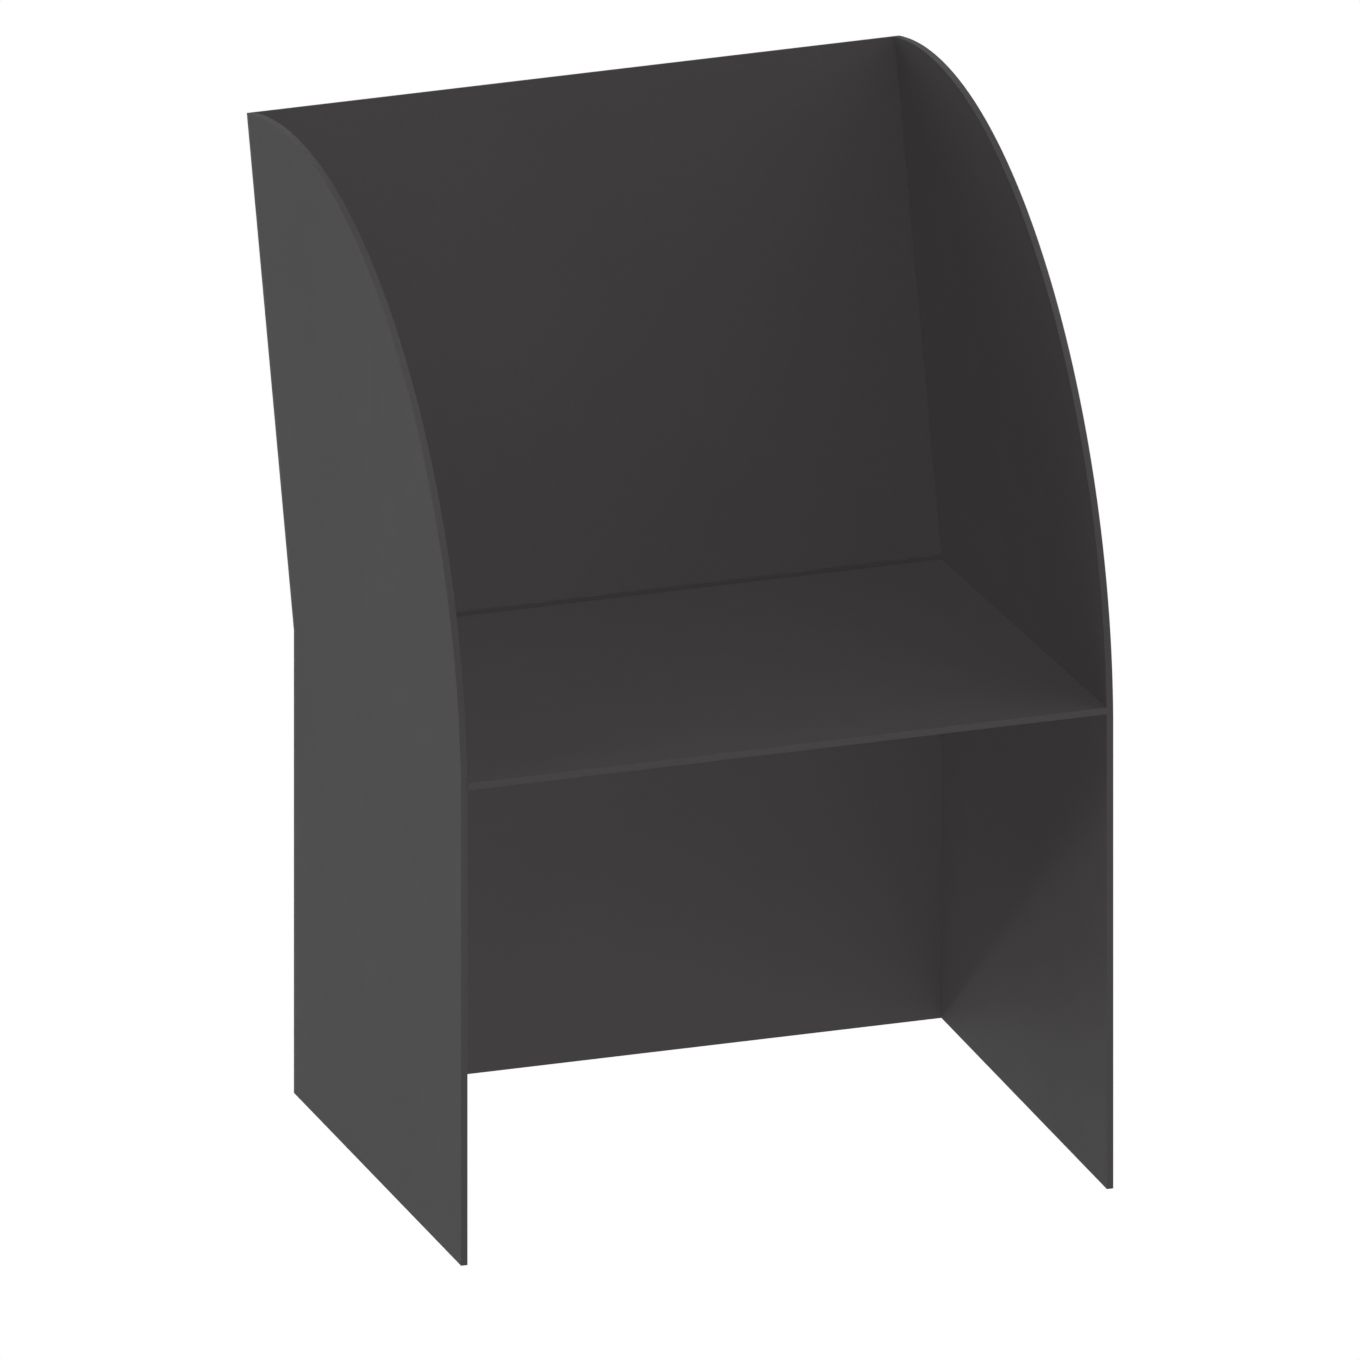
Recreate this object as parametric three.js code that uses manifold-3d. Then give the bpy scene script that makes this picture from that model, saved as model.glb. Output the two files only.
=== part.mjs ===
// Study carrel of compact laminate panels, as an assembly of separate named pieces.
// Millimetres, +Z up. The person sits on the -Y side and looks along +Y, with +X to the right.
// The origin is on the floor, in the middle of the overall width and depth.
import * as THREE from "three";
import { mergeVertices } from "three/addons/utils/BufferGeometryUtils.js";
import Module from "manifold-3d";

// Driving dimensions
const WIDTH = 1000; // over everything
const PLAN_DEPTH = 757; // front edges to the rear face of the lower back leaf, and the arcs' radius
const KINK_HEIGHT = 718; // floor to the line where the back starts to lean
const LEAN = THREE.MathUtils.degToRad(16.35); // of the upper back leaf, from upright
const DESK_FRONT_HEIGHT = 747; // desk surface at its front edge
const DESK_REAR_HEIGHT = 712; // desk surface at its rear edge
const SIDE_THICKNESS = 10;
const BACK_THICKNESS = 8;
const DESK_THICKNESS = 10;
const GAP = 0.3; // between pieces that touch
const ARC_SEGMENTS = 64; // of a side panel's arc
const BEND_SEGMENTS = 4; // of a bend in a steel piece

// Steel hardware
const STEEL_THICKNESS = 3;
const BEND_RADIUS = 4; // outside a right-angled bend
const CLEAT_LEG = 30;
const SIDE_CLEAT_START = 130; // behind the desk's front edge
const SIDE_CLEAT_LENGTH = 480;
const REAR_CLEAT_LENGTH = 600;
const CLEAT_END_MARGIN = 40; // cleat end to its first screw
const CLEAT_HOLE_HEIGHT = 19; // bend line to the screws on a leg
const KINK_PLATE_WIDTH = 60;
const KINK_PLATE_LEG = 40;
const KINK_PLATE_HOLE_SPACING = 32;
const KINK_PLATE_HOLE_HEIGHT = 26; // kink line to the screws on a leg
const KINK_PLATE_PLACES = { left: -330, centre: 0, right: 330 };

// M4 button-head socket screws
const SCREW_RADIUS = 2;
const SCREW_HOLE_RADIUS = 2.45;
const SCREW_HOLE_SPARE = 0.6; // hole beyond the screw's tip
const HEAD_RADIUS = 3.8;
const HEAD_HEIGHT = 2.2;
const HEAD_SHOULDER = 0.7; // cylindrical rim under the dome
const HEAD_CROWN_RADIUS = 2.4; // flat top of the dome
const SOCKET_RADIUS = 1.44; // over the corners of the 2.5 mm hexagon
const SOCKET_DEPTH = 1.3;
const LONG_SCREW = 30;
const SHORT_SCREW = 9;
const ROUND_SEGMENTS = 12;
const LOWER_SCREW_HEIGHTS = [90, 360, 630]; // above the floor
const UPPER_SCREW_HEIGHTS = [70, 380, 690]; // up the leaning leaf from the kink line

// Nylon glides
const GLIDE_HEAD_RADIUS = 3.2;
const GLIDE_HEAD_HEIGHT = 2.5;
const GLIDE_PROUD = 0.5;
const GLIDE_STEM_RADIUS = 2;
const GLIDE_STEM_LENGTH = 12;
const GLIDE_CLEARANCE = 0.45;
const GLIDE_INSET = 45; // from the front and the rear edge of a side panel

// Places worked out from the driving dimensions
const HALF_WIDTH = WIDTH / 2;
const OVERALL_DEPTH = PLAN_DEPTH * (1 + Math.sin(LEAN));
const FRONT_Y = -OVERALL_DEPTH / 2;
const REAR_Y = FRONT_Y + PLAN_DEPTH;
const BACK_FRONT_Y = REAR_Y - BACK_THICKNESS;
const INNER_X = HALF_WIDTH - SIDE_THICKNESS; // inner face of the right side panel
const SIDE_MIDDLE_X = HALF_WIDTH - SIDE_THICKNESS / 2;
const MITRE = Math.tan(LEAN / 2); // rise of the kink's mitre for each millimetre forward
const DESK_RUN = BACK_FRONT_Y - FRONT_Y;
const DESK_SLOPE = Math.atan2(DESK_FRONT_HEIGHT - DESK_REAR_HEIGHT, DESK_RUN);
const DESK_LENGTH = (DESK_RUN - GAP) / Math.cos(DESK_SLOPE);
const PLUMB_CUT = DESK_THICKNESS * Math.tan(DESK_SLOPE); // how far a plumb edge leans out of square
const STEEL_FACE = 2 * GAP + STEEL_THICKNESS; // a panel's face to the bearing face of a screw on its steel

// Materials
const laminate = { color: 0x3c3a3b, roughness: 0.62, metalness: 0 };
const coatedSteel = { color: 0x1d1d1e, roughness: 0.5, metalness: 0.6 };
const blackenedSteel = { color: 0x2a2a2c, roughness: 0.38, metalness: 0.9 };
const nylon = { color: 0x2b2b2b, roughness: 0.55, metalness: 0 };

const X = new THREE.Vector3(1, 0, 0);
const Y = new THREE.Vector3(0, 1, 0);
const Z = new THREE.Vector3(0, 0, 1);
const ALONG_X = new THREE.Matrix4().makeBasis(Y, Z, X); // outline drawn in (y, z)
const ALONG_Y = new THREE.Matrix4().makeBasis(X, Z, Y.clone().negate()); // outline drawn in (x, z)

const wasm = await Module();
wasm.setup();

function toSolid(geometry) {
  const bare = geometry.clone();
  bare.deleteAttribute("normal");
  bare.deleteAttribute("uv");
  const merged = mergeVertices(bare, 1e-4);
  return new wasm.Manifold(
    new wasm.Mesh({
      numProp: 3,
      vertProperties: new Float32Array(merged.attributes.position.array),
      triVerts: new Uint32Array(merged.index.array),
    }),
  );
}

function toGeometry(solid) {
  const mesh = solid.getMesh();
  const geometry = new THREE.BufferGeometry();
  geometry.setAttribute("position", new THREE.BufferAttribute(mesh.vertProperties, 3));
  geometry.setIndex(new THREE.BufferAttribute(mesh.triVerts, 1));
  geometry.computeVertexNormals();
  return geometry;
}

function subtract(geometry, cutters) {
  const rest = cutters.reduce((solid, cutter) => solid.subtract(toSolid(cutter)), toSolid(geometry));
  return toGeometry(rest);
}

function makeMesh(name, geometry, material) {
  const mesh = new THREE.Mesh(geometry, new THREE.MeshStandardMaterial(material));
  mesh.name = name;
  return mesh;
}

// An extruded outline, centred along its length. An arc gets two segments for each curve segment.
function prism(outline, length, axes, curveSegments = BEND_SEGMENTS / 2) {
  const options = { depth: length, bevelEnabled: false, curveSegments };
  const geometry = new THREE.ExtrudeGeometry(outline, options);
  return geometry.translate(0, 0, -length / 2).applyMatrix4(axes);
}

function polygon(points) {
  return new THREE.Shape(points.map(([y, z]) => new THREE.Vector2(y, z)));
}

// A solid turned about Z, from a profile of [radius, z] that rises from the axis and ends on it.
function turned(profile) {
  const points = profile.map(([radius, z]) => new THREE.Vector2(radius, z));
  return new THREE.LatheGeometry(points, ROUND_SEGMENTS).rotateX(Math.PI / 2);
}

// Cuts each fastener's own hole into a piece. Both are in the assembly already, so the hole
// follows the fastener, whatever groups the two are in.
function drill(piece, fasteners) {
  carrel.updateMatrixWorld(true);
  const toPiece = piece.matrixWorld.clone().invert();
  const cutters = fasteners.map((fastener) =>
    fastener.userData.hole.clone().applyMatrix4(toPiece.clone().multiply(fastener.matrixWorld)),
  );
  piece.geometry = subtract(piece.geometry, cutters);
}

// The three frames that pieces are placed in
const carrel = new THREE.Group();

// At the rear kink line, with +Z up the leaning leaf and +Y out of its rear face
const leaningFrame = new THREE.Group();
leaningFrame.position.set(0, REAR_Y, KINK_HEIGHT);
leaningFrame.rotation.x = -LEAN;

// At the desk's top front edge, with +Y back along the desk and +Z out of its surface
const deskFrame = new THREE.Group();
deskFrame.position.set(0, FRONT_Y, DESK_FRONT_HEIGHT);
deskFrame.rotation.x = -DESK_SLOPE;

carrel.add(leaningFrame, deskFrame);

// Side panels: a rectangle up to the kink's height, and above it a sector about the kink with the
// panel's own depth as radius, cut off where the leaning back leaf covers its rear edge.
function sidePanelOutline() {
  const cover = BACK_THICKNESS + GAP;
  const rearEnd = Math.PI / 2 - LEAN + Math.asin(cover / PLAN_DEPTH);
  const outline = new THREE.Shape();
  outline.moveTo(REAR_Y - cover, GLIDE_PROUD);
  outline.lineTo(REAR_Y - cover, KINK_HEIGHT + cover * MITRE);
  outline.absarc(REAR_Y, KINK_HEIGHT, PLAN_DEPTH, rearEnd, Math.PI, false);
  outline.lineTo(FRONT_Y, GLIDE_PROUD);
  return outline;
}

function sidePanel(name, centreX) {
  const body = prism(sidePanelOutline(), SIDE_THICKNESS, ALONG_X, ARC_SEGMENTS / 2);
  const mesh = makeMesh(name, body, laminate);
  mesh.position.x = centreX;
  return mesh;
}

const sidePanels = {
  left: sidePanel("side_panel_left", -SIDE_MIDDLE_X),
  right: sidePanel("side_panel_right", SIDE_MIDDLE_X),
};
carrel.add(sidePanels.left, sidePanels.right);

// Back leaves: full width, mitred against each other at the kink.
const lowerLeafOutline = polygon([
  [BACK_FRONT_Y, GLIDE_PROUD],
  [REAR_Y, GLIDE_PROUD],
  [REAR_Y, KINK_HEIGHT - GAP / 2],
  [BACK_FRONT_Y, KINK_HEIGHT - GAP / 2 + BACK_THICKNESS * MITRE],
]);
const backPanelLower = makeMesh("back_panel_lower", prism(lowerLeafOutline, WIDTH, ALONG_X), laminate);
carrel.add(backPanelLower);

const upperLeafOutline = polygon([
  [-BACK_THICKNESS, GAP / 2 - BACK_THICKNESS * MITRE],
  [0, GAP / 2],
  [0, PLAN_DEPTH],
  [-BACK_THICKNESS, PLAN_DEPTH],
]);
const backPanelUpper = makeMesh("back_panel_upper", prism(upperLeafOutline, WIDTH, ALONG_X), laminate);
leaningFrame.add(backPanelUpper);

// Desk top: its front and rear edges are cut plumb, so that the front one is flush with the sides.
const deskOutline = polygon([
  [PLUMB_CUT, -DESK_THICKNESS],
  [DESK_LENGTH + PLUMB_CUT, -DESK_THICKNESS],
  [DESK_LENGTH, 0],
  [0, 0],
]);
const deskTop = makeMesh("desk_top", prism(deskOutline, 2 * (INNER_X - GAP), ALONG_X), laminate);
deskFrame.add(deskTop);

// Screws: the head's bearing face is at z = 0 and the shank runs down -Z.
function screwGeometry(length) {
  const body = turned([
    [0, -length],
    [SCREW_RADIUS, -length],
    [SCREW_RADIUS, 0],
    [HEAD_RADIUS, 0],
    [HEAD_RADIUS, HEAD_SHOULDER],
    [HEAD_CROWN_RADIUS, HEAD_HEIGHT],
    [0, HEAD_HEIGHT],
  ]);
  const socket = new THREE.CylinderGeometry(SOCKET_RADIUS, SOCKET_RADIUS, 2 * SOCKET_DEPTH, 6);
  socket.rotateX(Math.PI / 2).translate(0, 0, HEAD_HEIGHT);
  return subtract(body, [socket]);
}

function screwHole(length) {
  const depth = length + SCREW_HOLE_SPARE;
  const hole = new THREE.CylinderGeometry(SCREW_HOLE_RADIUS, SCREW_HOLE_RADIUS, depth, ROUND_SEGMENTS);
  return hole.rotateX(Math.PI / 2).translate(0, 0, -depth / 2);
}

const screwShapes = {
  [LONG_SCREW]: { body: screwGeometry(LONG_SCREW), hole: screwHole(LONG_SCREW) },
  [SHORT_SCREW]: { body: screwGeometry(SHORT_SCREW), hole: screwHole(SHORT_SCREW) },
};

// A screw in a frame, with its head's bearing face at a place and its head pointing along outward.
function screw(name, length, frame, place, outward) {
  const mesh = makeMesh(name, screwShapes[length].body, blackenedSteel);
  mesh.position.set(...place);
  mesh.quaternion.setFromUnitVectors(new THREE.Vector3(0, 0, 1), new THREE.Vector3(...outward));
  mesh.userData.hole = screwShapes[length].hole;
  frame.add(mesh);
  return mesh;
}

// Long screws through the back leaves into the rear edges of the side panels
for (const [side, panel] of Object.entries(sidePanels)) {
  const x = panel.position.x;
  const lower = LOWER_SCREW_HEIGHTS.map((z, i) =>
    screw(`back_screw_lower_${side}_${i + 1}`, LONG_SCREW, carrel, [x, REAR_Y + GAP, z], [0, 1, 0]),
  );
  const upper = UPPER_SCREW_HEIGHTS.map((z, i) =>
    screw(`back_screw_upper_${side}_${i + 1}`, LONG_SCREW, leaningFrame, [x, GAP, z], [0, 1, 0]),
  );
  drill(backPanelLower, lower);
  drill(backPanelUpper, upper);
  drill(panel, [...lower, ...upper]);
}

// Steel pieces: a flat strip bent once. The outline's sharp outer corner is at corner, and its legs
// run from there at two angles, the second one anticlockwise from the first by less than half a turn.
function bentStripOutline(corner, firstAngle, secondAngle, leg) {
  const quarter = Math.PI / 2;
  const halfAngle = (secondAngle - firstAngle) / 2;
  const first = new THREE.Vector2(Math.cos(firstAngle), Math.sin(firstAngle));
  const second = new THREE.Vector2(Math.cos(secondAngle), Math.sin(secondAngle));
  const intoFirst = new THREE.Vector2(-first.y, first.x).multiplyScalar(STEEL_THICKNESS);
  const intoSecond = new THREE.Vector2(second.y, -second.x).multiplyScalar(STEEL_THICKNESS);
  const bend = first.clone().add(second).setLength(BEND_RADIUS / Math.sin(halfAngle)).add(corner);
  const firstTip = first.clone().multiplyScalar(leg).add(corner);
  const secondTip = second.clone().multiplyScalar(leg).add(corner);

  const outline = new THREE.Shape();
  outline.moveTo(firstTip.x, firstTip.y);
  outline.lineTo(firstTip.x + intoFirst.x, firstTip.y + intoFirst.y);
  const insideRadius = BEND_RADIUS - STEEL_THICKNESS;
  outline.absarc(bend.x, bend.y, insideRadius, firstAngle - quarter, secondAngle - 3 * quarter, true);
  outline.lineTo(secondTip.x + intoSecond.x, secondTip.y + intoSecond.y);
  outline.lineTo(secondTip.x, secondTip.y);
  outline.absarc(bend.x, bend.y, BEND_RADIUS, secondAngle + quarter, firstAngle + 3 * quarter, false);
  return outline;
}

// Where the three screws of a cleat's leg stand, measured from the cleat's middle
function cleatStations(length) {
  const reach = length / 2 - CLEAT_END_MARGIN;
  return [-reach, 0, reach];
}

// Side cleats: one leg under the desk and one on a side panel's inner face
const sideCleatCentre = SIDE_CLEAT_START + SIDE_CLEAT_LENGTH / 2;
const deskUnderside = -DESK_THICKNESS; // in the desk's frame

for (const [side, panel] of Object.entries(sidePanels)) {
  const name = `desk_cleat_${side}`;
  const hand = Math.sign(panel.position.x);
  const corner = new THREE.Vector2(hand * (INNER_X - GAP), deskUnderside - GAP);
  const firstAngle = hand > 0 ? Math.PI : -Math.PI / 2;
  const outline = bentStripOutline(corner, firstAngle, firstAngle + Math.PI / 2, CLEAT_LEG);
  const cleat = makeMesh(name, prism(outline, SIDE_CLEAT_LENGTH, ALONG_Y), coatedSteel);
  cleat.position.y = sideCleatCentre;
  deskFrame.add(cleat);

  const wallX = hand * (INNER_X - STEEL_FACE);
  const wallScrews = cleatStations(SIDE_CLEAT_LENGTH).map((station, i) => {
    const place = [wallX, sideCleatCentre + station, corner.y - CLEAT_HOLE_HEIGHT];
    return screw(`${name}_wall_screw_${i + 1}`, SHORT_SCREW, deskFrame, place, [-hand, 0, 0]);
  });
  const deskScrews = cleatStations(SIDE_CLEAT_LENGTH).map((station, i) => {
    const x = corner.x - hand * CLEAT_HOLE_HEIGHT;
    const place = [x, sideCleatCentre + station, deskUnderside - STEEL_FACE];
    return screw(`${name}_desk_screw_${i + 1}`, SHORT_SCREW, deskFrame, place, [0, 0, -1]);
  });
  drill(cleat, [...wallScrews, ...deskScrews]);
  drill(panel, wallScrews);
  drill(deskTop, deskScrews);
}

// Rear cleat: one leg under the desk and one on the lower back leaf, so it is bent to the desk's slope.
// Its outer corner, along the desk and then from the floor:
const cornerDrop = DESK_THICKNESS + GAP; // square to the desk's surface
const rearCornerAlong = DESK_LENGTH + cornerDrop * Math.tan(DESK_SLOPE);
const rearCornerHeight =
  DESK_FRONT_HEIGHT - rearCornerAlong * Math.sin(DESK_SLOPE) - cornerDrop * Math.cos(DESK_SLOPE);

const rearCleatOutline = bentStripOutline(
  new THREE.Vector2(BACK_FRONT_Y - GAP, rearCornerHeight),
  Math.PI - DESK_SLOPE,
  1.5 * Math.PI,
  CLEAT_LEG,
);
const rearCleatBody = prism(rearCleatOutline, REAR_CLEAT_LENGTH, ALONG_X);
const rearCleat = makeMesh("desk_cleat_rear", rearCleatBody, coatedSteel);
carrel.add(rearCleat);

const rearWallScrews = cleatStations(REAR_CLEAT_LENGTH).map((x, i) => {
  const place = [x, BACK_FRONT_Y - STEEL_FACE, rearCornerHeight - CLEAT_HOLE_HEIGHT];
  return screw(`desk_cleat_rear_wall_screw_${i + 1}`, SHORT_SCREW, carrel, place, [0, -1, 0]);
});
const rearDeskScrews = cleatStations(REAR_CLEAT_LENGTH).map((x, i) => {
  const place = [x, rearCornerAlong - CLEAT_HOLE_HEIGHT, deskUnderside - STEEL_FACE];
  return screw(`desk_cleat_rear_desk_screw_${i + 1}`, SHORT_SCREW, deskFrame, place, [0, 0, -1]);
});
drill(rearCleat, [...rearWallScrews, ...rearDeskScrews]);
drill(backPanelLower, rearWallScrews);
drill(deskTop, rearDeskScrews);

// Kink plates: bent to the lean, across the joint of the two back leaves on their rear faces
const kinkPlateOutline = bentStripOutline(
  new THREE.Vector2(GAP, -GAP * MITRE),
  -Math.PI / 2,
  Math.PI / 2 - LEAN,
  KINK_PLATE_LEG,
);

for (const [place, centreX] of Object.entries(KINK_PLATE_PLACES)) {
  const name = `kink_plate_${place}`;
  const plate = makeMesh(name, prism(kinkPlateOutline, KINK_PLATE_WIDTH, ALONG_X), coatedSteel);
  plate.position.set(centreX, REAR_Y, KINK_HEIGHT);
  carrel.add(plate);

  const columns = [centreX - KINK_PLATE_HOLE_SPACING / 2, centreX + KINK_PLATE_HOLE_SPACING / 2];
  const lower = columns.map((x, i) => {
    const at = [x, REAR_Y + STEEL_FACE, KINK_HEIGHT - KINK_PLATE_HOLE_HEIGHT];
    return screw(`${name}_lower_screw_${i + 1}`, SHORT_SCREW, carrel, at, [0, 1, 0]);
  });
  const upper = columns.map((x, i) => {
    const at = [x, STEEL_FACE, KINK_PLATE_HOLE_HEIGHT];
    return screw(`${name}_upper_screw_${i + 1}`, SHORT_SCREW, leaningFrame, at, [0, 1, 0]);
  });
  drill(plate, [...lower, ...upper]);
  drill(backPanelLower, lower);
  drill(backPanelUpper, upper);
}

// Glides: a head let into the bottom edge and a stem pressed into it. The foot is at z = 0.
const glideBody = turned([
  [0, 0],
  [GLIDE_HEAD_RADIUS - GLIDE_PROUD, 0],
  [GLIDE_HEAD_RADIUS, GLIDE_PROUD],
  [GLIDE_HEAD_RADIUS, GLIDE_HEAD_HEIGHT],
  [GLIDE_STEM_RADIUS, GLIDE_HEAD_HEIGHT],
  [GLIDE_STEM_RADIUS, GLIDE_HEAD_HEIGHT + GLIDE_STEM_LENGTH],
  [0, GLIDE_HEAD_HEIGHT + GLIDE_STEM_LENGTH],
]);
const glideHole = turned([
  [0, 0],
  [GLIDE_HEAD_RADIUS + GLIDE_CLEARANCE, 0],
  [GLIDE_HEAD_RADIUS + GLIDE_CLEARANCE, GLIDE_HEAD_HEIGHT + GAP],
  [GLIDE_STEM_RADIUS + GLIDE_CLEARANCE, GLIDE_HEAD_HEIGHT + GAP],
  [GLIDE_STEM_RADIUS + GLIDE_CLEARANCE, GLIDE_HEAD_HEIGHT + GLIDE_STEM_LENGTH + GAP],
  [0, GLIDE_HEAD_HEIGHT + GLIDE_STEM_LENGTH + GAP],
]);
const glidePlaces = { front: FRONT_Y + GLIDE_INSET, rear: BACK_FRONT_Y - GLIDE_INSET };

for (const [side, panel] of Object.entries(sidePanels)) {
  for (const [end, y] of Object.entries(glidePlaces)) {
    const glide = makeMesh(`glide_${end}_${side}`, glideBody, nylon);
    glide.position.set(panel.position.x, y, 0);
    glide.userData.hole = glideHole;
    carrel.add(glide);
    drill(panel, [glide]);
  }
}

export default carrel;
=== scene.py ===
"""Study carrel of compact laminate panels: its looks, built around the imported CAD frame.

Metres, +Z up, in the frame's own coordinates. The person sits on the -Y side and looks along +Y.
Every piece is made in mesh code in the place of its CAD node, with eased edges and smooth arcs.
"""
import math

import bmesh
import bpy
from mathutils import Matrix, Vector


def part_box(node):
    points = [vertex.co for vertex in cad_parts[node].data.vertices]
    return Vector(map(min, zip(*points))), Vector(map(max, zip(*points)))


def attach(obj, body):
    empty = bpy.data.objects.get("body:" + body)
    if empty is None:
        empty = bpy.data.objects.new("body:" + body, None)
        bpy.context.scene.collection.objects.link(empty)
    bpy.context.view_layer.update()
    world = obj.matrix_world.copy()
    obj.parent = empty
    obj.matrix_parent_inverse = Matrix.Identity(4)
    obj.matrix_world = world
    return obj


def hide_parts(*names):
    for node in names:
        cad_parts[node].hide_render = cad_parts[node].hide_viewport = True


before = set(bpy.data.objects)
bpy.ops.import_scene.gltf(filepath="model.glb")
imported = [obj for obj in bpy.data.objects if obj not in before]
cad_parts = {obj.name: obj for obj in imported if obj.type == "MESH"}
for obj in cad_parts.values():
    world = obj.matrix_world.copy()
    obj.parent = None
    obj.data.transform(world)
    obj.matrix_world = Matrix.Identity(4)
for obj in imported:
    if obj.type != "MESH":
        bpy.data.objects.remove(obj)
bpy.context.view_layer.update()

# Driving dimensions, the same as the CAD's
PLAN_DEPTH = 0.757  # front edges to the rear face of the lower back leaf, and the arcs' radius
KINK_HEIGHT = 0.718
LEAN = math.radians(16.35)
DESK_FRONT_HEIGHT = 0.747
DESK_REAR_HEIGHT = 0.712
DESK_THICKNESS = 0.010
GAP = 0.0003
STEEL_THICKNESS = 0.003
BEND_RADIUS = 0.004
CLEAT_LEG = 0.030
KINK_PLATE_LEG = 0.040

JOINT = 0.0001  # between panels that butt: the CAD leaves GAP there, and closed joints are seen

# M4 button-head socket screws
SCREW_RADIUS = 0.002
HEAD_RADIUS = 0.0038
HEAD_HEIGHT = 0.0022
HEAD_RIM = 0.0005
CROWN_RADIUS = 0.0021
CROWN_STEPS = 6
SOCKET_HALF_FLATS = 0.00125
SOCKET_DEPTH = 0.0013
SOCKET_CHAMFER = 0.00015
TIP_CHAMFER = 0.0006

# Glides
GLIDE_STEM_RADIUS = 0.002
GLIDE_HEAD_HEIGHT = 0.0025
GLIDE_FOOT_ROUNDING = 0.0005
ROUNDING_MIDDLE = 0.3  # how far in the middle of a rounding lies, as a share of its radius

# Finish of the edges
PANEL_EASE = 0.0003
STEEL_EASE = 0.0004
CORNER_OVER_EASE = 1.5
EASE_STEPS = 4
CORNER_STEPS = 6
ARC_STEPS = 240
BEND_STEPS = 12
ROUND_STEPS = 48
CORNER_ANGLE = math.radians(8)  # an outline that turns less than this at a point is on an arc
SHARP_ANGLE = math.radians(35)
BROAD_FACE = 0.999  # cosine to the thickness direction above which a face is a panel's broad face

# Places read from the frame
side_low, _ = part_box("side_panel_right")
lower_low, lower_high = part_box("back_panel_lower")
FRONT_Y = side_low.y
REAR_Y = lower_high.y
BACK_FRONT_Y = lower_low.y
FOOT_Z = lower_low.z
HALF_WIDTH = lower_high.x
INNER_X = side_low.x
DESK_HALF_WIDTH = INNER_X - JOINT

BACK_THICKNESS = REAR_Y - BACK_FRONT_Y
SIDE_THICKNESS = HALF_WIDTH - INNER_X
MITRE = math.tan(LEAN / 2)
DESK_RUN = BACK_FRONT_Y - FRONT_Y
DESK_SLOPE = math.atan2(DESK_FRONT_HEIGHT - DESK_REAR_HEIGHT, DESK_RUN)
DESK_LENGTH = (DESK_RUN - JOINT) / math.cos(DESK_SLOPE)

# Directions
X, Y, Z = Vector((1, 0, 0)), Vector((0, 1, 0)), Vector((0, 0, 1))
LEAN_OUT = Vector((0, math.cos(LEAN), -math.sin(LEAN)))  # out of the upper leaf's rear face
DESK_ALONG = Vector((0, math.cos(DESK_SLOPE), -math.sin(DESK_SLOPE)))  # from front to rear
DESK_UP = Vector((0, math.sin(DESK_SLOPE), math.cos(DESK_SLOPE)))  # out of the desk's surface


def place_at(origin, u, v):
    """The matrix of a place with axes u, v and u x v."""
    w = u.cross(v)
    columns = Matrix((u, v, w)).transposed().to_4x4()
    return Matrix.Translation(origin) @ columns


LEANING = place_at(Vector((0, REAR_Y, KINK_HEIGHT)), LEAN_OUT, X.cross(LEAN_OUT))
DESK = place_at(Vector((0, FRONT_Y, DESK_FRONT_HEIGHT)), DESK_ALONG, DESK_UP)
UPRIGHT = place_at(Vector((0, 0, 0)), Y, Z)


# Outlines: closed lists of 2-D points, anticlockwise

def arc(centre, radius, start, end, steps):
    """Points of an arc from one angle to another, both ends included."""
    angles = (start + (end - start) * i / steps for i in range(steps + 1))
    return [centre + radius * Vector((math.cos(a), math.sin(a))) for a in angles]


def turn_at(before, point, after):
    """How far an outline turns left at a point."""
    return (point - before).angle_signed(after - point) * -1


def with_rounded_corners(points, radius):
    """The outline with each of its corners rounded, inward ones too."""
    rounded = []
    for i, point in enumerate(points):
        before, after = points[i - 1], points[(i + 1) % len(points)]
        turn = turn_at(before, point, after)
        if abs(turn) < CORNER_ANGLE:
            rounded.append(point)
            continue
        reach = radius * math.tan(abs(turn) / 2)
        entry = point + (before - point).normalized() * reach
        ahead = (point - before).normalized()
        left = Vector((-ahead.y, ahead.x)) * math.copysign(1, turn)
        start = math.atan2(-left.y, -left.x)
        rounded += arc(entry + left * radius, radius, start, start + turn, CORNER_STEPS)
    return rounded


def inset(points, distance):
    """The outline moved inward by a distance."""
    moved = []
    for i, point in enumerate(points):
        ahead = (point - points[i - 1]).normalized()
        onward = (points[(i + 1) % len(points)] - point).normalized()
        normals = Vector((-ahead.y, ahead.x)), Vector((-onward.y, onward.x))
        middle = (normals[0] + normals[1]).normalized()
        moved.append(point + middle * (distance / middle.dot(normals[0])))
    return moved


def bent_strip(corner, first_angle, second_angle, leg):
    """A steel strip bent once: its sharp outer corner, and the angles at which its legs leave it."""
    quarter = math.pi / 2
    half = (second_angle - first_angle) / 2
    first = Vector((math.cos(first_angle), math.sin(first_angle)))
    second = Vector((math.cos(second_angle), math.sin(second_angle)))
    into_first = Vector((-first.y, first.x)) * STEEL_THICKNESS
    into_second = Vector((second.y, -second.x)) * STEEL_THICKNESS
    bend = corner + (first + second).normalized() * (BEND_RADIUS / math.sin(half))
    inner = arc(
        bend, BEND_RADIUS - STEEL_THICKNESS, first_angle - quarter, second_angle - 3 * quarter, BEND_STEPS
    )
    outer = arc(bend, BEND_RADIUS, second_angle + quarter, first_angle + 3 * quarter, BEND_STEPS)
    first_tip, second_tip = corner + first * leg, corner + second * leg
    return [first_tip, first_tip + into_first, *inner, second_tip + into_second, second_tip, *outer]


# Meshes

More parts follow.
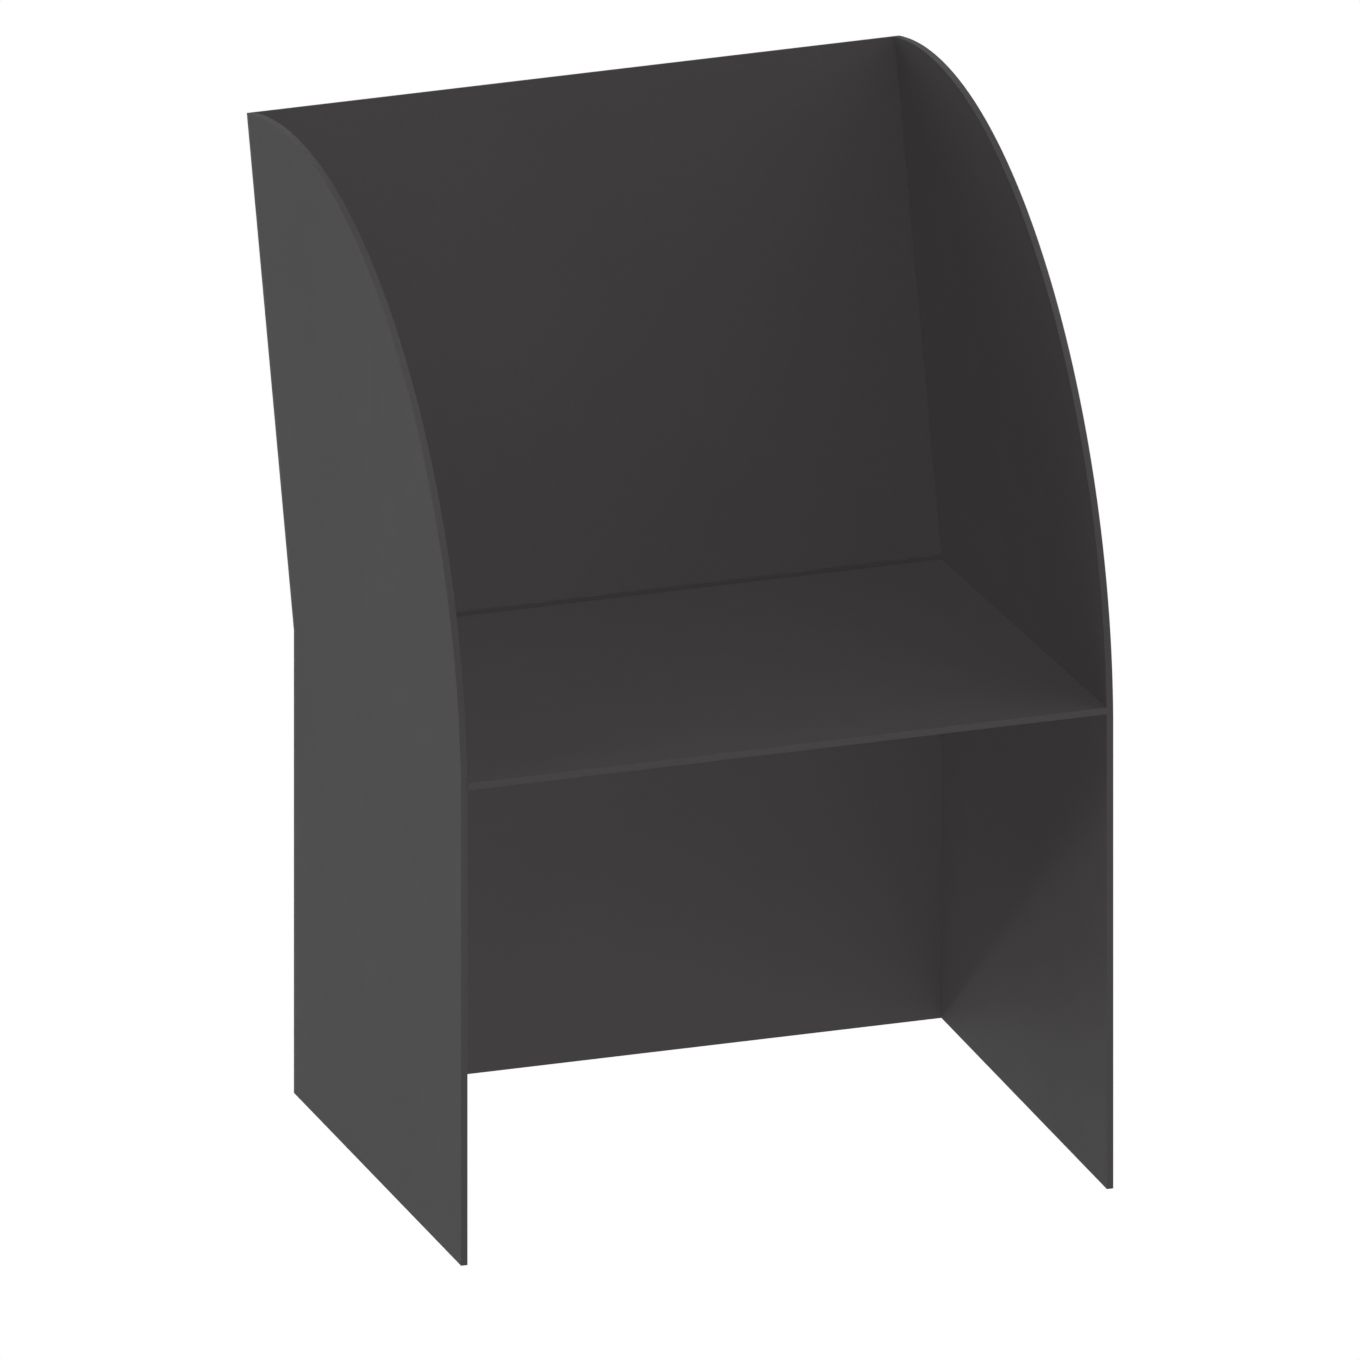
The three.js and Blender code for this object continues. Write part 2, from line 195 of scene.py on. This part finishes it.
def object_from(mesh, name):
    """A new object in the scene that holds a bmesh."""
    data = bpy.data.meshes.new(name)
    mesh.to_mesh(data)
    mesh.free()
    made = bpy.data.objects.new(name, data)
    bpy.context.scene.collection.objects.link(made)
    return made


def loft(name, rings):
    """A closed mesh through rings of as many points each, capped at both ends."""
    mesh = bmesh.new()
    rows = [[mesh.verts.new(point) for point in ring] for ring in rings]
    for low, high in zip(rows, rows[1:]):
        for i in range(len(low)):
            mesh.faces.new((low[i - 1], low[i], high[i], high[i - 1]))
    mesh.faces.new(reversed(rows[0]))
    mesh.faces.new(rows[-1])
    for face in mesh.faces:
        face.smooth = True
    return object_from(mesh, name)


def prism(name, outline, length, place, ease):
    """A straight length of an outline, centred on a place, with every edge eased."""
    corners = with_rounded_corners(outline, ease * CORNER_OVER_EASE)
    end = []
    for step in range(EASE_STEPS + 1):
        turn = math.pi / 2 * step / EASE_STEPS
        end.append((ease * (1 - math.sin(turn)), ease * (1 - math.cos(turn)) - length / 2))
    levels = end + [(inward, -w) for inward, w in reversed(end)]
    rings = [[place @ Vector((*p, w)) for p in inset(corners, inward)] for inward, w in levels]
    piece = loft(name, rings)
    piece.modifiers.new("even_faces", "WEIGHTED_NORMAL").keep_sharp = True
    return piece


def turned(name, rings, place):
    """A turned solid about a place's third axis, from rings of radius and height."""
    piece = loft(name, [[place @ p for p in ring] for ring in rings])
    piece.data.set_sharp_from_angle(angle=SHARP_ANGLE)
    return piece


def circle(radius, height):
    angles = (2 * math.pi * i / ROUND_STEPS for i in range(ROUND_STEPS))
    return [Vector((radius * math.cos(a), radius * math.sin(a), height)) for a in angles]


def hexagon(half_flats, height):
    """A hexagon with as many points as a circle has."""
    ring = []
    for i in range(ROUND_STEPS):
        angle = 2 * math.pi * i / ROUND_STEPS
        from_flat = (angle + math.pi / 6) % (math.pi / 3) - math.pi / 6
        radius = half_flats / math.cos(from_flat)
        ring.append(Vector((radius * math.cos(angle), radius * math.sin(angle), height)))
    return ring


def stands_for(piece, node, slot, *materials):
    """Puts a piece on the root body in place of the CAD node, which it hides, and gives it its materials.
    """
    for material in materials:
        piece.data.materials.append(material)
    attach(piece, "root")
    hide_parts(node)
    return piece


# Materials

def new_material(name, **settings):
    """A Principled material. settings are its sockets' names, with _ for a space, and values."""
    material = bpy.data.materials.new(name)
    material.use_nodes = True
    shader = material.node_tree.nodes["Principled BSDF"]
    for socket, value in settings.items():
        shader.inputs[socket.replace("_", " ")].default_value = value
    return material, material.node_tree, shader


def noise(tree, vector, scale, detail=2.0, distortion=0.0):
    node = tree.nodes.new("ShaderNodeTexNoise")
    node.inputs["Scale"].default_value = scale
    node.inputs["Detail"].default_value = detail
    node.inputs["Distortion"].default_value = distortion
    tree.links.new(vector, node.inputs["Vector"])
    return node.outputs["Fac"]


def mapped(tree, value, low, high, to_low=0.0, to_high=1.0):
    """A value's range from low to high spread over another range."""
    node = tree.nodes.new("ShaderNodeMapRange")
    numbers = {"From Min": low, "From Max": high, "To Min": to_low, "To Max": to_high}
    for socket, number in numbers.items():
        node.inputs[socket].default_value = number
    tree.links.new(value, node.inputs["Value"])
    return node.outputs["Result"]


def mixed(tree, factor, first, second):
    """Between two colours, each a tuple or linked."""
    node = tree.nodes.new("ShaderNodeMix")
    node.data_type = "RGBA"
    for socket, colour in (("A", first), ("B", second)):
        target = next(s for s in node.inputs if s.name == socket and s.type == "RGBA")
        if isinstance(colour, tuple):
            target.default_value = (*colour, 1)
        else:
            tree.links.new(colour, target)
    tree.links.new(factor, node.inputs["Factor"])
    return next(s for s in node.outputs if s.type == "RGBA")


def multiplied(tree, first, second):
    """The product of two colours."""
    node = tree.nodes.new("ShaderNodeVectorMath")
    node.operation = "MULTIPLY"
    tree.links.new(first, node.inputs[0])
    tree.links.new(second, node.inputs[1])
    return node.outputs["Vector"]


def maths(tree, operation, *values):
    node = tree.nodes.new("ShaderNodeMath")
    node.operation = operation
    for socket, value in zip(node.inputs, values):
        tree.links.new(value, socket)
    return node.outputs["Value"]


def mixed_values(tree, factor, first, second):
    """Between a linked value and a number."""
    node = tree.nodes.new("ShaderNodeMix")
    node.inputs["B"].default_value = second
    tree.links.new(first, node.inputs["A"])
    tree.links.new(factor, node.inputs["Factor"])
    return node.outputs["Result"]


def bump(tree, height, strength, distance, normal=None):
    node = tree.nodes.new("ShaderNodeBump")
    node.inputs["Strength"].default_value = strength
    node.inputs["Distance"].default_value = distance
    tree.links.new(height, node.inputs["Height"])
    if normal is not None:
        tree.links.new(normal, node.inputs["Normal"])
    return node.outputs["Normal"]


def object_coordinates(tree):
    return tree.nodes.new("ShaderNodeTexCoord").outputs["Object"]


def link_finish(tree, shader, colour, roughness, normal):
    finish = {"Base Color": colour, "Roughness": roughness, "Normal": normal}
    for socket, value in finish.items():
        tree.links.new(value, shader.inputs[socket])


LAMINATE_DARK = (0.0441, 0.0420, 0.0428)
LAMINATE_LIGHT = (0.0461, 0.0438, 0.0446)
SPECKLE_SHADE = (0.84, 0.84, 0.84)
SPECKLE_LIGHT = (1.16, 1.16, 1.16)
CORE_DARK = (0.0345, 0.0333, 0.0337)
CORE_LIGHT = (0.0465, 0.0448, 0.0453)
CORE_WORN = (0.058, 0.056, 0.057)
WORN_ROUGHNESS = 0.36
COAT_DARK = (0.013, 0.013, 0.014)
COAT_LIGHT = (0.018, 0.018, 0.019)
STEEL_BLACKENED = (0.055, 0.055, 0.060)
STEEL_RUBBED = (0.15, 0.15, 0.155)
NYLON_DARK = (0.020, 0.020, 0.020)
NYLON_LIGHT = (0.028, 0.028, 0.028)


def laminate_face_material():
    """Matte charcoal laminate: a fine speckled grain, with faint clouds of colour and wiped gloss."""
    material, tree, shader = new_material("laminate_face", Specular_IOR_Level=0.3)
    place = object_coordinates(tree)
    clouds = mapped(tree, noise(tree, place, scale=3.2, detail=5.0), 0.3, 0.7)
    cloudy = mixed(tree, clouds, LAMINATE_DARK, LAMINATE_LIGHT)
    speckle = mapped(tree, noise(tree, place, scale=1500.0, detail=3.0), 0.35, 0.65)
    shaded = mixed(tree, speckle, SPECKLE_SHADE, SPECKLE_LIGHT)
    colour = multiplied(tree, cloudy, shaded)
    wiping = noise(tree, place, scale=7.0, detail=3.0, distortion=1.2)
    roughness = mapped(tree, wiping, 0.4, 0.65, to_low=0.645, to_high=0.625)
    pebble = bump(tree, noise(tree, place, scale=800.0), strength=0.5, distance=0.0003)
    grain = bump(tree, noise(tree, place, scale=2600.0), strength=0.4, distance=0.0001, normal=pebble)
    link_finish(tree, shader, colour, roughness, grain)
    return material


def layers_across(tree, across):
    """The layers of a laminate sheet: noise in one dimension, across its thickness."""
    layers = tree.nodes.new("ShaderNodeTexNoise")
    layers.noise_dimensions = "1D"
    layers.inputs["Scale"].default_value = 13.0
    layers.inputs["Detail"].default_value = 3.0
    tree.links.new(across, layers.inputs["W"])
    return layers.outputs["Fac"]


def laminate_edge_material():
    """The same sheet on its cut edge: fine layers along the edge, and arrises that hands have polished."""
    material, tree, shader = new_material("laminate_edge", Specular_IOR_Level=0.4)
    place = object_coordinates(tree)
    attribute = tree.nodes.new("ShaderNodeAttribute")
    attribute.attribute_name = ACROSS
    across = attribute.outputs["Fac"]
    layers = layers_across(tree, across)
    core = mixed(tree, mapped(tree, layers, 0.3, 0.7), CORE_DARK, CORE_LIGHT)
    handled = mapped(tree, noise(tree, place, scale=35.0, detail=4.0), 0.45, 0.7)
    arris = mapped(tree, maths(tree, "ABSOLUTE", across), 0.88, 0.98)
    worn = maths(tree, "MULTIPLY", arris, handled)
    colour = mixed(tree, worn, core, CORE_WORN)
    sanding = noise(tree, place, scale=60.0, detail=3.0)
    sanded = mapped(tree, sanding, 0.35, 0.65, to_low=0.46, to_high=0.58)
    roughness = mixed_values(tree, worn, sanded, WORN_ROUGHNESS)
    link_finish(tree, shader, colour, roughness, bump(tree, layers, strength=0.3, distance=0.0001))
    return material


def coated_steel_material():
    """Black powder coat with an orange-peel surface."""
    material, tree, shader = new_material("powder_coat", Specular_IOR_Level=0.5)
    place = object_coordinates(tree)
    tone = mapped(tree, noise(tree, place, scale=25.0, detail=3.0), 0.35, 0.65)
    colour = mixed(tree, tone, COAT_DARK, COAT_LIGHT)
    roughness = mapped(tree, tone, 0.0, 1.0, to_low=0.36, to_high=0.46)
    peel = bump(tree, noise(tree, place, scale=650.0, detail=1.0), strength=0.35, distance=0.0002)
    fine = bump(tree, noise(tree, place, scale=2400.0), strength=0.15, distance=0.00006, normal=peel)
    link_finish(tree, shader, colour, roughness, fine)
    return material


def blackened_steel_material():
    """Blackened screw steel, brighter where the finish has rubbed."""
    material, tree, shader = new_material("blackened_steel", Metallic=1.0)
    place = object_coordinates(tree)
    rub = mapped(tree, noise(tree, place, scale=900.0, detail=4.0), 0.5, 0.75)
    colour = mixed(tree, rub, STEEL_BLACKENED, STEEL_RUBBED)
    roughness = mapped(tree, rub, 0.0, 1.0, to_low=0.42, to_high=0.3)
    fine = bump(tree, noise(tree, place, scale=5000.0), strength=0.1, distance=0.00003)
    link_finish(tree, shader, colour, roughness, fine)
    return material


def nylon_material():
    """Moulded black nylon."""
    material, tree, shader = new_material("moulded_nylon", Specular_IOR_Level=0.4)
    place = object_coordinates(tree)
    tone = mapped(tree, noise(tree, place, scale=400.0, detail=3.0), 0.35, 0.65)
    colour = mixed(tree, tone, NYLON_DARK, NYLON_LIGHT)
    roughness = mapped(tree, tone, 0.0, 1.0, to_low=0.5, to_high=0.62)
    fine = bump(tree, noise(tree, place, scale=3000.0), strength=0.12, distance=0.00004)
    link_finish(tree, shader, colour, roughness, fine)
    return material


# Panels

ACROSS = "across"  # each point's place across its panel's thickness: -1 and 1 at the broad faces


def finish_panel(piece, node, thickness_direction):
    """Gives a panel its broad-face and cut-edge finishes."""
    stands_for(piece, node, "compact_laminate", laminate_face, laminate_edge)
    mesh = piece.data
    heights = [v.co.dot(thickness_direction) for v in mesh.vertices]
    middle, half = (max(heights) + min(heights)) / 2, (max(heights) - min(heights)) / 2
    across = mesh.attributes.new(ACROSS, "FLOAT", "POINT")
    for height, value in zip(heights, across.data):
        value.value = (height - middle) / half
    for polygon in mesh.polygons:
        broad = abs(polygon.normal.dot(thickness_direction)) > BROAD_FACE
        polygon.material_index = 0 if broad else 1


def side_outline():
    """In (y, z): a rectangle up to the kink, and above it a sector about the kink."""
    cover = BACK_THICKNESS + JOINT
    kink = Vector((REAR_Y, KINK_HEIGHT))
    rear_end = math.pi / 2 - LEAN + math.asin(cover / PLAN_DEPTH)
    return [
        Vector((FRONT_Y, FOOT_Z)),
        Vector((REAR_Y - cover, FOOT_Z)),
        Vector((REAR_Y - cover, KINK_HEIGHT + cover * MITRE)),
        *arc(kink, PLAN_DEPTH, rear_end, math.pi, ARC_STEPS),
    ]


def side_panels():
    for side, hand in (("left", -1), ("right", 1)):
        centre = Vector((hand * (HALF_WIDTH - SIDE_THICKNESS / 2), 0, 0))
        place = Matrix.Translation(centre) @ UPRIGHT
        node = f"side_panel_{side}"
        panel = prism(f"{node}_eased", side_outline(), SIDE_THICKNESS, place, PANEL_EASE)
        finish_panel(panel, node, X)


def back_panels():
    lower = [
        Vector((BACK_FRONT_Y, FOOT_Z)),
        Vector((REAR_Y, FOOT_Z)),
        Vector((REAR_Y, KINK_HEIGHT - JOINT / 2)),
        Vector((BACK_FRONT_Y, KINK_HEIGHT - JOINT / 2 + BACK_THICKNESS * MITRE)),
    ]
    panel = prism("back_panel_lower_eased", lower, 2 * HALF_WIDTH, UPRIGHT, PANEL_EASE)
    finish_panel(panel, "back_panel_lower", Y)

    upper = [
        Vector((-BACK_THICKNESS, JOINT / 2 - BACK_THICKNESS * MITRE)),
        Vector((0, JOINT / 2)),
        Vector((0, PLAN_DEPTH)),
        Vector((-BACK_THICKNESS, PLAN_DEPTH)),
    ]
    panel = prism("back_panel_upper_eased", upper, 2 * HALF_WIDTH, LEANING, PANEL_EASE)
    finish_panel(panel, "back_panel_upper", LEAN_OUT)


def desk_top():
    """In (along, up): front and rear edges are cut plumb."""
    plumb = DESK_THICKNESS * math.tan(DESK_SLOPE)
    outline = [
        Vector((plumb, -DESK_THICKNESS)),
        Vector((DESK_LENGTH + plumb, -DESK_THICKNESS)),
        Vector((DESK_LENGTH, 0)),
        Vector((0, 0)),
    ]
    panel = prism("desk_top_eased", outline, 2 * DESK_HALF_WIDTH, DESK, PANEL_EASE)
    finish_panel(panel, "desk_top", DESK_UP)


# Steel pieces

def side_cleats():
    """Angles under the desk along both side panels, each as long as its CAD node."""
    for side, hand in (("left", -1), ("right", 1)):
        node = f"desk_cleat_{side}"
        low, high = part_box(node)
        middle = (low + high) / 2
        along = (high.y - low.y - CLEAT_LEG * math.sin(DESK_SLOPE)) / math.cos(DESK_SLOPE)
        to_surface = (middle - DESK.translation).dot(DESK_ALONG)
        place = place_at(DESK.translation + DESK_ALONG * to_surface, X, DESK_UP)
        corner = Vector((hand * (INNER_X - GAP), -DESK_THICKNESS - GAP))
        first = math.pi if hand > 0 else -math.pi / 2
        outline = bent_strip(corner, first, first + math.pi / 2, CLEAT_LEG)
        piece = prism(f"{node}_bent", outline, along, place, STEEL_EASE)
        stands_for(piece, node, "coated_steel", powder_coat)


def rear_cleat():
    """The angle under the desk's rear, bent to the desk's slope."""
    node = "desk_cleat_rear"
    low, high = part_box(node)
    drop = DESK_THICKNESS + GAP
    along = DESK_LENGTH + drop * math.tan(DESK_SLOPE)
    corner = DESK @ Vector((along, -drop, 0))
    outline = bent_strip(corner.yz, math.pi - DESK_SLOPE, 1.5 * math.pi, CLEAT_LEG)
    piece = prism(f"{node}_bent", outline, high.x - low.x, UPRIGHT, STEEL_EASE)
    stands_for(piece, node, "coated_steel", powder_coat)


def kink_plates():
    """Plates bent to the lean, across the joint of the two back leaves."""
    corner = Vector((REAR_Y + GAP, KINK_HEIGHT - GAP * MITRE))
    outline = bent_strip(corner, -math.pi / 2, math.pi / 2 - LEAN, KINK_PLATE_LEG)
    for where in ("left", "centre", "right"):
        node = f"kink_plate_{where}"
        low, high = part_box(node)
        place = Matrix.Translation(((low.x + high.x) / 2, 0, 0)) @ UPRIGHT
        piece = prism(f"{node}_bent", outline, high.x - low.x, place, STEEL_EASE)
        stands_for(piece, node, "coated_steel", powder_coat)


# Screws and glides

def screw_rings(length):
    """Rings from the tip up to the head's crown and down into its hexagon socket."""
    rise = HEAD_HEIGHT - HEAD_RIM
    dome = []
    for step in range(1, CROWN_STEPS + 1):
        turn = math.pi / 2 * step / CROWN_STEPS
        radius = CROWN_RADIUS + (HEAD_RADIUS - CROWN_RADIUS) * math.cos(turn)
        dome.append(circle(radius, HEAD_RIM + rise * math.sin(turn)))
    return [
        circle(SCREW_RADIUS - TIP_CHAMFER, -length),
        circle(SCREW_RADIUS, TIP_CHAMFER - length),
        circle(SCREW_RADIUS, 0),
        circle(HEAD_RADIUS, 0),
        circle(HEAD_RADIUS, HEAD_RIM),
        *dome,
        hexagon(SOCKET_HALF_FLATS + SOCKET_CHAMFER, HEAD_HEIGHT),
        hexagon(SOCKET_HALF_FLATS, HEAD_HEIGHT - SOCKET_CHAMFER),
        hexagon(SOCKET_HALF_FLATS, HEAD_HEIGHT - SOCKET_DEPTH),
    ]


def screw_place(node, outward):
    """Where a CAD screw's head bears, read from its mesh, and its length under the head."""
    points = {tuple(round(c, 6) for c in v.co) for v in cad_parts[node].data.vertices}
    heights = {p: Vector(p).dot(outward) for p in points}
    lowest, highest = min(heights.values()), max(heights.values())
    tip = [Vector(p) for p, h in heights.items() if h < lowest + GAP]
    length = highest - lowest - HEAD_HEIGHT
    bearing = sum(tip, Vector()) / len(tip) + outward * length
    across = X if abs(outward.dot(X)) < 0.5 else Y
    u = (across - outward * across.dot(outward)).normalized()
    return place_at(bearing, u, outward.cross(u)), length


def screw(node, outward):
    place, length = screw_place(node, outward)
    piece = turned(f"{node}_button_head", screw_rings(length), place)
    stands_for(piece, node, "blackened_steel", blackened_steel)


def screws():
    leaf_out = {"lower": Y, "upper": LEAN_OUT}
    for side in ("left", "right"):
        for leaf, outward in leaf_out.items():
            for i in (1, 2, 3):
                screw(f"back_screw_{leaf}_{side}_{i}", outward)
    wall_out = {"left": X, "right": -X, "rear": -Y}
    for cleat, outward in wall_out.items():
        for i in (1, 2, 3):
            screw(f"desk_cleat_{cleat}_wall_screw_{i}", outward)
            screw(f"desk_cleat_{cleat}_desk_screw_{i}", -DESK_UP)
    for where in ("left", "centre", "right"):
        for leaf, outward in leaf_out.items():
            for i in (1, 2):
                screw(f"kink_plate_{where}_{leaf}_screw_{i}", outward)


def glides():
    for side in ("left", "right"):
        for end in ("front", "rear"):
            node = f"glide_{end}_{side}"
            low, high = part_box(node)
            radius = (high.x - low.x) / 2
            midway = GLIDE_FOOT_ROUNDING * ROUNDING_MIDDLE
            rings = [
                circle(radius - GLIDE_FOOT_ROUNDING, 0),
                circle(radius - midway, midway),
                circle(radius, GLIDE_FOOT_ROUNDING),
                circle(radius, GLIDE_HEAD_HEIGHT),
                circle(GLIDE_STEM_RADIUS, GLIDE_HEAD_HEIGHT),
                circle(GLIDE_STEM_RADIUS, high.z - TIP_CHAMFER),
                circle(GLIDE_STEM_RADIUS - TIP_CHAMFER, high.z),
            ]
            centre = Vector(((low.x + high.x) / 2, (low.y + high.y) / 2, 0))
            piece = turned(f"{node}_turned", rings, place_at(centre, X, Y))
            stands_for(piece, node, "nylon", moulded_nylon)


# Stage: floor, light and camera

VIEW_AZIMUTH = math.radians(-18.717)
VIEW_ELEVATION = math.radians(20.517)
VIEW_WIDTH = 1.9747
VIEW_HEIGHT = 0.677  # of the point in the middle of the view
VIEW_DISTANCE = 6.0
FLOOR_REACH = 15.0
COVE_RADIUS = 2.0
WALL_HEIGHT = 12.0

# The white of the room, and the lamps in it: the way to each one, its strength as the brightness that
# it gives to a white sheet square to it, its colour, and the angle that it spreads over. Which lamps there
# are, and their first values, came from another program's least-squares fit to the brightness of the
# reference view. They were rounded and changed after that.
ROOM_STRENGTH = 0.085
NARROW, MEDIUM, BROAD = math.radians(6), math.radians(30), math.radians(80)
NEUTRAL, COOL, WARM = (1.0, 1.0, 1.0), (0.95, 1.0, 0.98), (1.0, 0.97, 0.97)
LAMPS = {
    "below": (Vector((0, -0.3, -1)), 0.555, WARM, BROAD),
    "right_high": (Vector((1, -0.3, 1)), 0.368, NEUTRAL, BROAD),
    "rear_high": (Vector((0, 0.906, 0.423)), 0.13, NEUTRAL, MEDIUM),
    "rear_low": (Vector((0, 0.94, -0.34)), 0.09, COOL, MEDIUM),
    "rear_low_narrow": (Vector((-1.2, 1.23, -1)), 0.055, NEUTRAL, NARROW),
    "rear_left": (Vector((-0.69, 0.69, 0.12)), 0.13, COOL, MEDIUM),
    "front_right_low": (Vector((0.66, -0.66, -0.34)), 0.103, NEUTRAL, MEDIUM),
    "left_low": (Vector((-0.94, 0, -0.34)), 0.12, COOL, MEDIUM),
    "left_high": (Vector((-0.67, 0, 0.74)), 0.109, COOL, MEDIUM),
}
# Lamps that cast no shadow and give no gloss, for the light that a room's walls throw back into every
# corner: the way to each one and its strength, which come from the same fit
FILL_COLOUR = (1.0, 0.945, 0.955)
FILLS = {
    "fill_front": (Vector((-0.564, -0.450, 0.707)), 1.048),
    "fill_front_low": (Vector((0.13, -0.695, -0.707)), 0.245),
    "fill_rear": (Vector((0.488, 0.716, -0.5)), 0.618),
}


def floor_material():
    """White that shines by itself and takes no light."""
    material, _, _ = new_material(
        "pale_floor",
        Base_Color=(0.0, 0.0, 0.0, 1),
        Roughness=1.0,
        Specular_IOR_Level=0.0,
        Emission_Color=(1, 1, 1, 1),
        Emission_Strength=1.0,
    )
    return material


def floor():
    """A white floor that turns up into a round white wall, which goes on below it too.

    They are only seen, and throw neither light nor shadow on the carrel.
    """
    wall_reach = FLOOR_REACH + COVE_RADIUS
    cove = arc(Vector((FLOOR_REACH, COVE_RADIUS)), COVE_RADIUS, -math.pi / 2, 0, BEND_STEPS)
    profile = [*cove, Vector((wall_reach, WALL_HEIGHT)), Vector((wall_reach, -WALL_HEIGHT))]
    mesh = bmesh.new()
    rows = [[mesh.verts.new(point) for point in circle(reach, height)] for reach, height in profile]
    mesh.faces.new(rows[0])
    for low, high in zip(rows, rows[1:]):
        for i in range(ROUND_STEPS):
            mesh.faces.new((low[i - 1], high[i - 1], high[i], low[i]))
    plane = object_from(mesh, "floor")
    plane.data.materials.append(floor_material())
    plane.visible_diffuse = plane.visible_glossy = plane.visible_shadow = False


def sun(name, direction, strength, colour, spread=0.0, casts_shadow=True):
    lamp = bpy.data.lights.new(name, "SUN")
    lamp.energy = math.pi * strength
    lamp.color = colour
    lamp.angle = spread
    lamp.use_shadow = casts_shadow
    holder = bpy.data.objects.new(name, lamp)
    holder.rotation_euler = direction.to_track_quat("Z", "Y").to_euler()
    holder.visible_glossy = casts_shadow
    bpy.context.scene.collection.objects.link(holder)


def light():
    world = bpy.data.worlds.new("studio")
    world.use_nodes = True
    background = world.node_tree.nodes["Background"]
    background.inputs["Color"].default_value = (*NEUTRAL, 1)
    background.inputs["Strength"].default_value = ROOM_STRENGTH
    bpy.context.scene.world = world
    for name, (direction, strength, colour, spread) in LAMPS.items():
        sun(name, direction, strength, colour, spread)
    for name, (direction, strength) in FILLS.items():
        sun(name, direction, strength, FILL_COLOUR, casts_shadow=False)


def camera():
    data = bpy.data.cameras.new("camera")
    data.type = "ORTHO"
    data.ortho_scale = VIEW_WIDTH
    eye = bpy.data.objects.new("camera", data)
    back = Vector((
        math.sin(VIEW_AZIMUTH) * math.cos(VIEW_ELEVATION),
        -math.cos(VIEW_AZIMUTH) * math.cos(VIEW_ELEVATION),
        math.sin(VIEW_ELEVATION),
    ))
    eye.location = Vector((0, 0, VIEW_HEIGHT)) + back * VIEW_DISTANCE
    eye.rotation_euler = (math.pi / 2 - VIEW_ELEVATION, 0, VIEW_AZIMUTH)
    bpy.context.scene.collection.objects.link(eye)
    bpy.context.scene.camera = eye


laminate_face = laminate_face_material()
laminate_edge = laminate_edge_material()
powder_coat = coated_steel_material()
blackened_steel = blackened_steel_material()
moulded_nylon = nylon_material()

side_panels()
back_panels()
desk_top()
side_cleats()
rear_cleat()
kink_plates()
screws()
glides()
floor()
light()
camera()
bpy.context.scene.view_settings.view_transform = "Standard"
